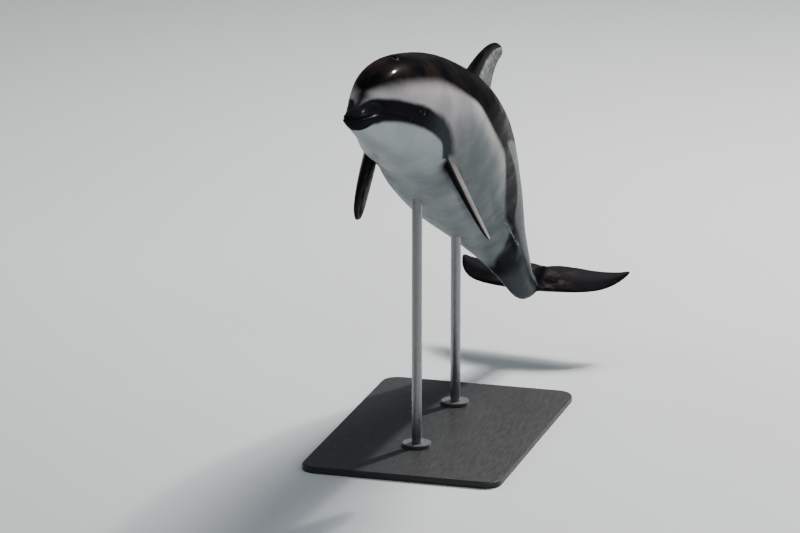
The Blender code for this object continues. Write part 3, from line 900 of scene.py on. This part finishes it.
# ---- materials
class Nodes:
    """A node material in the making; its methods add nodes and return their sockets."""

    def __init__(self, name):
        """Starts an empty material with its object coordinates."""
        self.material = bpy.data.materials.new(name)
        self.material.use_nodes = True
        self.tree = self.material.node_tree
        self.tree.nodes.clear()
        self.coordinates = self.node("ShaderNodeTexCoord", {}).outputs["Object"]

    def node(self, kind, inputs, **settings):
        """A new node of a kind with its settings; its inputs are sockets, to be linked, or plain values. A
        colour's three parts get a fourth, opaque."""
        node = self.tree.nodes.new(kind)
        for key, value in settings.items():
            setattr(node, key, value)
        for key, value in inputs.items():
            if isinstance(value, bpy.types.NodeSocket):
                self.tree.links.new(value, node.inputs[key])
            else:
                node.inputs[key].default_value = (*value, 1.0) if isinstance(value, tuple) else value
        return node

    def attribute(self, name):
        """A point attribute of the mesh."""
        kind = "ShaderNodeAttribute"
        return self.node(kind, {}, attribute_name=name, attribute_type="GEOMETRY").outputs["Fac"]

    def math(self, operation, a, b=0.0, c=0.0):
        """Arithmetic on up to three values."""
        return self.node("ShaderNodeMath", {0: a, 1: b, 2: c}, operation=operation).outputs[0]

    def times(self, a, b):
        """The product of two values."""
        return self.math("MULTIPLY", a, b)

    def step(self, value, low, high, to_low=0.0, to_high=1.0):
        """Smooth step from to_low at low to to_high at high."""
        inputs = {"Value": value, "From Min": low, "From Max": high, "To Min": to_low, "To Max": to_high}
        node = self.node("ShaderNodeMapRange", inputs, interpolation_type="SMOOTHSTEP")
        return node.outputs["Result"]

    def noise(self, scale, detail=3.0, rough=0.5, stretch=None):
        """Fractal noise between 0 and 1 with a scale per metre, on coordinates stretched along each axis."""
        at = self.coordinates
        if stretch:
            at = self.node("ShaderNodeMapping", {"Vector": at, "Scale": Vector(stretch)}).outputs["Vector"]
        inputs = {"Vector": at, "Scale": scale, "Detail": detail, "Roughness": rough}
        return self.node("ShaderNodeTexNoise", inputs).outputs["Fac"]

    def mix(self, share, a, b):
        """Colour a where the share is 0 and colour b where it is 1."""
        return self.node("ShaderNodeMix", {0: share, 6: a, 7: b}, data_type="RGBA").outputs[2]

    def tone(self, pattern, low, high, a, b):
        """From colour a to colour b by a smooth step of a pattern."""
        return self.mix(self.step(pattern, low, high), a, b)

    def bump(self, height, strength, distance, under=None):
        """A normal bent by a height, over an earlier one."""
        inputs = {"Strength": strength, "Distance": distance, "Height": height}
        if under:
            inputs["Normal"] = under
        return self.node("ShaderNodeBump", inputs).outputs["Normal"]

    def surface(self, **inputs):
        """The principled shader and the output."""
        inputs = {name.replace("_", " "): value for name, value in inputs.items()}
        shader = self.node("ShaderNodeBsdfPrincipled", inputs)
        self.node("ShaderNodeOutputMaterial", {"Surface": shader.outputs[0]})
        return self.material


SKIN_TONES = {  # the span of the mottle, and the two colours that it runs between
    "grey": (0.35, 0.68, (0.155, 0.176, 0.180), (0.215, 0.236, 0.236)),
    # the face's pale grey with a pink tint that is painted warm light
    "rosy_sunlit": (0.35, 0.65, (0.330, 0.295, 0.308), (0.440, 0.392, 0.402)),
    # throat and belly: white skin given as a darkened cool grey, painted shade of the underside
    "throat": (0.30, 0.70, (0.345, 0.378, 0.384), (0.425, 0.452, 0.453)),
    "belly": (0.30, 0.70, (0.285, 0.318, 0.324), (0.355, 0.384, 0.386)),
    "black": (0.35, 0.70, (0.006, 0.006, 0.007), (0.015, 0.014, 0.015)),
    "fin": (0.30, 0.70, (0.006, 0.006, 0.007), (0.016, 0.015, 0.017)),
    # the flipper's outer face: partly its own paler grey, partly a painted pink highlight along the front
    # half
    "flipper": (0.35, 0.68, (0.200, 0.182, 0.182), (0.330, 0.300, 0.295)),
}
# the pale side colour is partly painted light from above, and the crest colour partly a painted highlight
# along the upper flank
PALE_SIDE_SUNLIT, CREST_HIGHLIGHT, BLAZE_GREY = (0.42, 0.43, 0.42), (0.46, 0.44, 0.43), (0.175, 0.188, 0.194)
# the blowhole's rim colour is a painted highlight and its near black a painted shade in the opening
FRECKLE, BLOWHOLE_RIM_HIGHLIGHT, BLOWHOLE_SHADE = (0.026, 0.019, 0.017), (0.105, 0.098, 0.112), (0.003, 0.003, 0.003)
TAIL_DARK, TAIL_GREY, TAIL_PALE = (0.016, 0.018, 0.020), (0.075, 0.082, 0.086), (0.085, 0.092, 0.096)
LIP_DARK, LIP_PALE, EYE_STRIPE = (0.010, 0.011, 0.013), (0.024, 0.025, 0.028), (0.046, 0.056, 0.061)
# the fluke's brown is partly a painted pink-brown wet highlight on the fluke roots
DORSAL_DARK, DORSAL_PALE, FLUKE_BROWN_SHEEN = (0.15, 0.152, 0.156), (0.37, 0.37, 0.365), (0.060, 0.045, 0.045)
# the greyer trailing half of a flipper's under face is partly a painted wet edge highlight
FLIPPER_UNDER_SHEEN, FLIPPER_REAR = (0.045, 0.046, 0.050), (0.085, 0.085, 0.088)
FLIPPER_FRONT = (0.030, 0.027, 0.028)


def skin_material():
    """Wet skin: grey flank, black cape, white belly greyed by painted shade, dark lip and flipper stripe,
    pale blaze and fin, and painted highlights.
    """
    m = Nodes("dolphin_skin")
    wander = m.times(m.math("SUBTRACT", m.noise(9.0, 4.0, 0.6), 0.5), 0.020)
    fray = m.times(m.math("SUBTRACT", m.noise(60.0, 3.0, 0.6), 0.5), 0.0035)
    waver = m.math("ADD", wander, fray)
    mottle = m.noise(13.0, 4.0, 0.55)
    station, chord, outer_face = (m.attribute(name) for name in ("station", "chord", "outer_face"))

    def region(name, soft, amount=1.0):
        """Share of a marking: its edge wavers by the amount and is soft over some metres either way."""
        return m.step(m.math("MULTIPLY_ADD", waver, amount, m.attribute(name)), -soft, soft)

    def mottled(name):
        """One of the skin's tones, with its mottle."""
        return m.tone(mottle, *SKIN_TONES[name])

    face = m.times(m.step(station, 0.20, 0.27, 1.0, 0.0), 0.9)
    # face: pale grey tinted pink by painted warm light
    colour = m.mix(face, mottled("grey"), mottled("rosy_sunlit"))
    # lighter towards the back: partly the flank's paler upper part, partly painted light from above
    colour = m.mix(m.times(m.step(m.attribute("turn"), -0.45, 0.20), 0.30), colour, PALE_SIDE_SUNLIT)
    # painted shade: the white underside is darker and cooler than white, more so from the throat back to the
    # belly
    white = m.tone(station, 0.17, 0.30, mottled("throat"), mottled("belly"))
    colour = m.mix(region("white", 0.006, 0.5), colour, white)
    # pale band along the upper flank under the cape: partly the pale margin of the flank patch, partly a
    # painted highlight
    crest_highlight = m.times(m.step(m.attribute("cape"), -0.050, -0.008), m.step(station, 0.23, 0.29))
    crest_highlight = m.times(crest_highlight, m.step(station, 0.46, 0.56, 1.0, 0.0))
    colour = m.mix(m.times(crest_highlight, m.step(mottle, 0.30, 0.62, 0.5, 0.95)), colour, CREST_HIGHLIGHT)
    black = m.mix(m.times(face, m.step(mottle, 0.40, 0.62)), mottled("black"), FRECKLE)
    colour = m.mix(region("cape", 0.009, 0.3), colour, black)

    # painted highlight on the blowhole's rim, and painted shade filling its opening
    blow = m.attribute("blow")
    rim = m.times(m.step(blow, 0.0038, 0.0046), m.step(blow, 0.0056, 0.0085, 1.0, 0.0))
    colour = m.mix(m.times(rim, 0.8), colour, BLOWHOLE_RIM_HIGHLIGHT)
    colour = m.mix(m.step(blow, 0.0036, 0.0044, 1.0, 0.0), colour, BLOWHOLE_SHADE)
    # under the tail stock: partly the animal's dark marking, partly painted shade on the underside
    tail = m.tone(mottle, 0.45, 0.75, m.tone(station, 0.785, 0.85, TAIL_DARK, TAIL_GREY), TAIL_PALE)
    colour = m.mix(region("under_tail", 0.022, 1.6), colour, tail)
    colour = m.mix(m.times(region("blaze", 0.007, 0.6), 0.88), colour, BLAZE_GREY)
    lips = m.times(region("stripe", 0.005, 0.5), m.math("SUBTRACT", 1.0, region("white", 0.005, 0.4)))
    dark = m.tone(station, 0.138, 0.185, m.mix(mottle, LIP_DARK, LIP_PALE), EYE_STRIPE)
    colour = m.mix(lips, colour, dark)

    dorsal_pale = m.tone(m.noise(95.0, 3.0, 0.6), 0.40, 0.62, DORSAL_DARK, DORSAL_PALE)
    fins = m.mix(region("pale_rear", 0.008), mottled("fin"), dorsal_pale)
    # flippers: the pinkish band on the outer face and the greyer trailing half of the under face are partly
    # painted highlight
    rear = m.step(chord, 0.35, 0.75)
    fins = m.mix(m.times(rear, m.step(outer_face, -1.02, -0.98)), fins, FLIPPER_UNDER_SHEEN)
    upper = m.tone(chord, 0.010, 0.045, FLIPPER_FRONT, m.mix(rear, mottled("flipper"), FLIPPER_REAR))
    fins = m.tone(outer_face, -0.1, 0.8, fins, upper)
    # brown blotches on the fluke roots: partly brownish skin, partly a painted wet highlight
    sheen_blotch = m.step(m.noise(24.0, 4.0, 0.6), 0.46, 0.62)
    sheen_blotch = m.times(m.step(m.attribute("fluke_root"), 0.0, 0.25), sheen_blotch)
    fins = m.mix(sheen_blotch, fins, FLUKE_BROWN_SHEEN)
    colour = m.tone(m.attribute("fin"), 0.15, 0.95, colour, fins)

    fine = m.noise(420.0, 2.0, 0.55)
    ripple = m.noise(42.0, 2.0, 0.5, (1.0, 0.45, 1.0))
    streak = m.math("MULTIPLY_ADD", fine, 0.15, m.noise(16.0, 4.0, 0.6, (1.0, 0.35, 1.6)))
    return m.surface(
        Base_Color=colour, Roughness=m.step(streak, 0.42, 0.72, 0.20, 0.42), Specular_IOR_Level=0.002,
        Normal=m.bump(ripple, 0.08, 0.0030, m.bump(fine, 0.16, 0.0006)), Coat_Weight=0.09,
        Coat_Roughness=0.06, Coat_IOR=1.33,
    )


body.data.materials.append(skin_material())
FLESH = (
    "head", "lower_jaw", "chest", "trunk", "loin", "tail_stock", "dorsal_fin", "flipper_left",
    "flipper_right", "fluke_left", "fluke_right",
)
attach(body, "root")
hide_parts(*FLESH)


def eyeball(name, side):
    """A ball with a slight corneal bulge. Its attributes gaze and pupil are metres from the pupil's middle,
    straight and stretched to the pupil's bent shape; both are larger on the ball's back."""
    origin, aft, upward, normal, _, _ = local_frame(EYE_STATION, eye_angle(side))
    rings, around, cornea = 48, 72, 0.0005
    theta = (np.arange(1, rings) / rings * math.pi)[:, None]
    phi = (np.arange(around) / around * 2 * math.pi)[None, :] * side
    radius = EYE_RADIUS + cornea * bump(theta, 0.42)
    across = radius * np.sin(theta)
    local = np.broadcast_arrays(across * np.cos(phi), across * np.sin(phi), radius * np.cos(theta))
    local = np.stack(local, -1).reshape(-1, 3)
    local = np.vstack([local, [0, 0, EYE_RADIUS + cornea], [0, 0, -EYE_RADIUS]])
    centre = origin + normal * (EYE_PROUD - EYE_RADIUS)
    points = centre + local[:, :1] * aft + local[:, 1:2] * upward * side + local[:, 2:] * normal
    ring = np.arange((rings - 1) * around).reshape(rings - 1, around)
    after = np.roll(ring, -1, 1)
    quads = np.stack([ring[:-1], ring[1:], after[1:], after[:-1]], -1).reshape(-1, 4)
    front, rear = (np.full(around, len(points) - k) for k in (2, 1))
    triangles = np.hstack([[front, ring[0], after[0]], [rear, after[-1], ring[-1]]]).T
    piece = make_mesh(name, points, quads, triangles)
    x, y, z = local.T
    behind = np.where(z > 0, 0.0, 0.02)
    give(piece, "gaze", np.hypot(x, y) + behind)
    give(piece, "pupil", np.hypot(x / 1.35, y - 0.0006 + 30 * x**2) + behind)
    piece.data.materials.append(EYE_MATERIAL)
    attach(piece, "root")
    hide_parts(name.replace("ball", "eye"))


IRIS_DARK, IRIS_PALE, IRIS_RIM = (0.014, 0.008, 0.005), (0.040, 0.024, 0.014), (0.012, 0.010, 0.010)
PUPIL_BLACK, EYE_WHITE = (0.002, 0.002, 0.003), (0.13, 0.105, 0.10)


def eye_material():
    """Dark brown iris with fine rays round a wide black pupil, and a darker rim, under a clear wet coat."""
    m = Nodes("dolphin_eye")
    gaze = m.attribute("gaze")
    rays = m.noise(900.0, 3.0, 0.6)
    colour = m.tone(gaze, 0.0062, 0.0076, m.mix(rays, IRIS_DARK, IRIS_PALE), IRIS_RIM)
    colour = m.tone(gaze, 0.0084, 0.0102, colour, EYE_WHITE)
    colour = m.mix(m.step(m.attribute("pupil"), 0.0030, 0.0037, 1.0, 0.0), colour, PUPIL_BLACK)
    return m.surface(
        Base_Color=colour, Roughness=m.step(rays, 0.2, 0.8, 0.22, 0.34), Specular_IOR_Level=0.05,
        Coat_Weight=0.6, Coat_Roughness=0.02, Coat_IOR=1.38,
    )


EYE_MATERIAL = eye_material()
eyeball("ball_left", 1)
eyeball("ball_right", -1)


def paint_material():
    """Satin black lacquer with faint brush grain."""
    m = Nodes("stand_lacquer")
    grain = m.noise(300.0, 3.0, 0.6, (1.0, 0.08, 1.0))
    cloud = m.math("MULTIPLY_ADD", grain, 0.3, m.times(m.noise(7.0), 0.7))
    return m.surface(
        Base_Color=m.mix(cloud, (0.018, 0.018, 0.019), (0.032, 0.032, 0.034)),
        Roughness=m.step(grain, 0.3, 0.7, 0.36, 0.46), Normal=m.bump(grain, 0.08, 0.0004),
    )


def steel_material():
    """Brushed stainless steel."""
    m = Nodes("stand_steel")
    grain = m.noise(900.0, 2.0, 0.5, (1.0, 1.0, 0.04))
    return m.surface(
        Base_Color=m.mix(grain, (0.26, 0.26, 0.27), (0.38, 0.38, 0.39)), Metallic=1.0,
        Roughness=m.step(grain, 0.3, 0.7, 0.26, 0.38), Normal=m.bump(grain, 0.10, 0.0002),
    )


PAINT, STEEL = paint_material(), steel_material()
for name, material in (
    ("stand_base", PAINT), ("stand_flange_front", STEEL), ("stand_flange_rear", STEEL),
    ("stand_rod_front", STEEL), ("stand_rod_rear", STEEL),
):
    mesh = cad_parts[name].data
    mesh.materials.clear()
    mesh.materials.append(material)


# ---- floor, light and camera
def floor():
    """A wide plain floor under the base."""
    size = 30.0
    mesh = bpy.data.meshes.new("floor")
    corners = [(-size, -size, 0), (size, -size, 0), (size, size, 0), (-size, size, 0)]
    mesh.from_pydata(corners, [], [(0, 1, 2, 3)])
    piece = bpy.data.objects.new("floor", mesh)
    bpy.context.scene.collection.objects.link(piece)
    m = Nodes("studio_floor")
    colour = m.mix(m.noise(0.7), (0.47, 0.49, 0.50), (0.52, 0.54, 0.55))
    mesh.materials.append(m.surface(Base_Color=colour, Roughness=0.75))


floor()


def lamp(name, at, size, power, colour, glossy=False, diffuse=True):
    """A round area lamp aimed at the animal; glossy says whether wet surfaces mirror it and diffuse whether
    it lights them."""
    light = bpy.data.lights.new(name, "AREA")
    light.shape, light.size, light.energy, light.color = "DISK", size, power, colour
    lamp_object = bpy.data.objects.new(name, light)
    lamp_object.location = at
    lamp_object.rotation_euler = (Vector((0.0, 0.0, 0.7)) - Vector(at)).to_track_quat("-Z", "Y").to_euler()
    lamp_object.visible_glossy, lamp_object.visible_diffuse = glossy, diffuse
    bpy.context.scene.collection.objects.link(lamp_object)


lamp("key", (1.1, 3.4, 4.6), 1.8, 440.0, (1.0, 0.96, 0.92))
lamp("key_glint", (1.6, 3.2, 4.5), 0.20, 900.0, (1.0, 0.97, 0.94), glossy=True, diffuse=False)
lamp("fill", (2.2, -4.8, 2.8), 2.6, 60.0, (0.95, 0.97, 1.0))
lamp("side_left", (4.4, -1.2, 2.4), 2.2, 40.0, (0.92, 0.97, 1.0))
lamp("side_right", (-4.2, 0.2, 2.6), 2.2, 45.0, (0.95, 0.97, 1.0))

world = bpy.data.worlds.new("studio")
world.use_nodes = True
background = world.node_tree.nodes["Background"]
background.inputs["Color"].default_value = (0.78, 0.86, 0.92, 1.0)
background.inputs["Strength"].default_value = 0.27
bpy.context.scene.world = world
bpy.context.scene.view_settings.look = "AgX - Medium High Contrast"

AZIMUTH, ELEVATION, DISTANCE = math.radians(16.0), math.radians(16.0), 12.0
TARGET = Vector((-0.0582, -0.1416, 0.45))
back_way = Vector((
    math.sin(AZIMUTH) * math.cos(ELEVATION), -math.cos(AZIMUTH) * math.cos(ELEVATION), math.sin(ELEVATION),
))
camera_data = bpy.data.cameras.new("camera")
camera_data.sensor_width, camera_data.lens = 36.0, 231.03
camera_data.clip_end = 60.0
camera = bpy.data.objects.new("camera", camera_data)
camera.location = TARGET + DISTANCE * back_way
camera.rotation_euler = (-back_way).to_track_quat("-Z", "Y").to_euler()
bpy.context.scene.collection.objects.link(camera)
bpy.context.scene.camera = camera
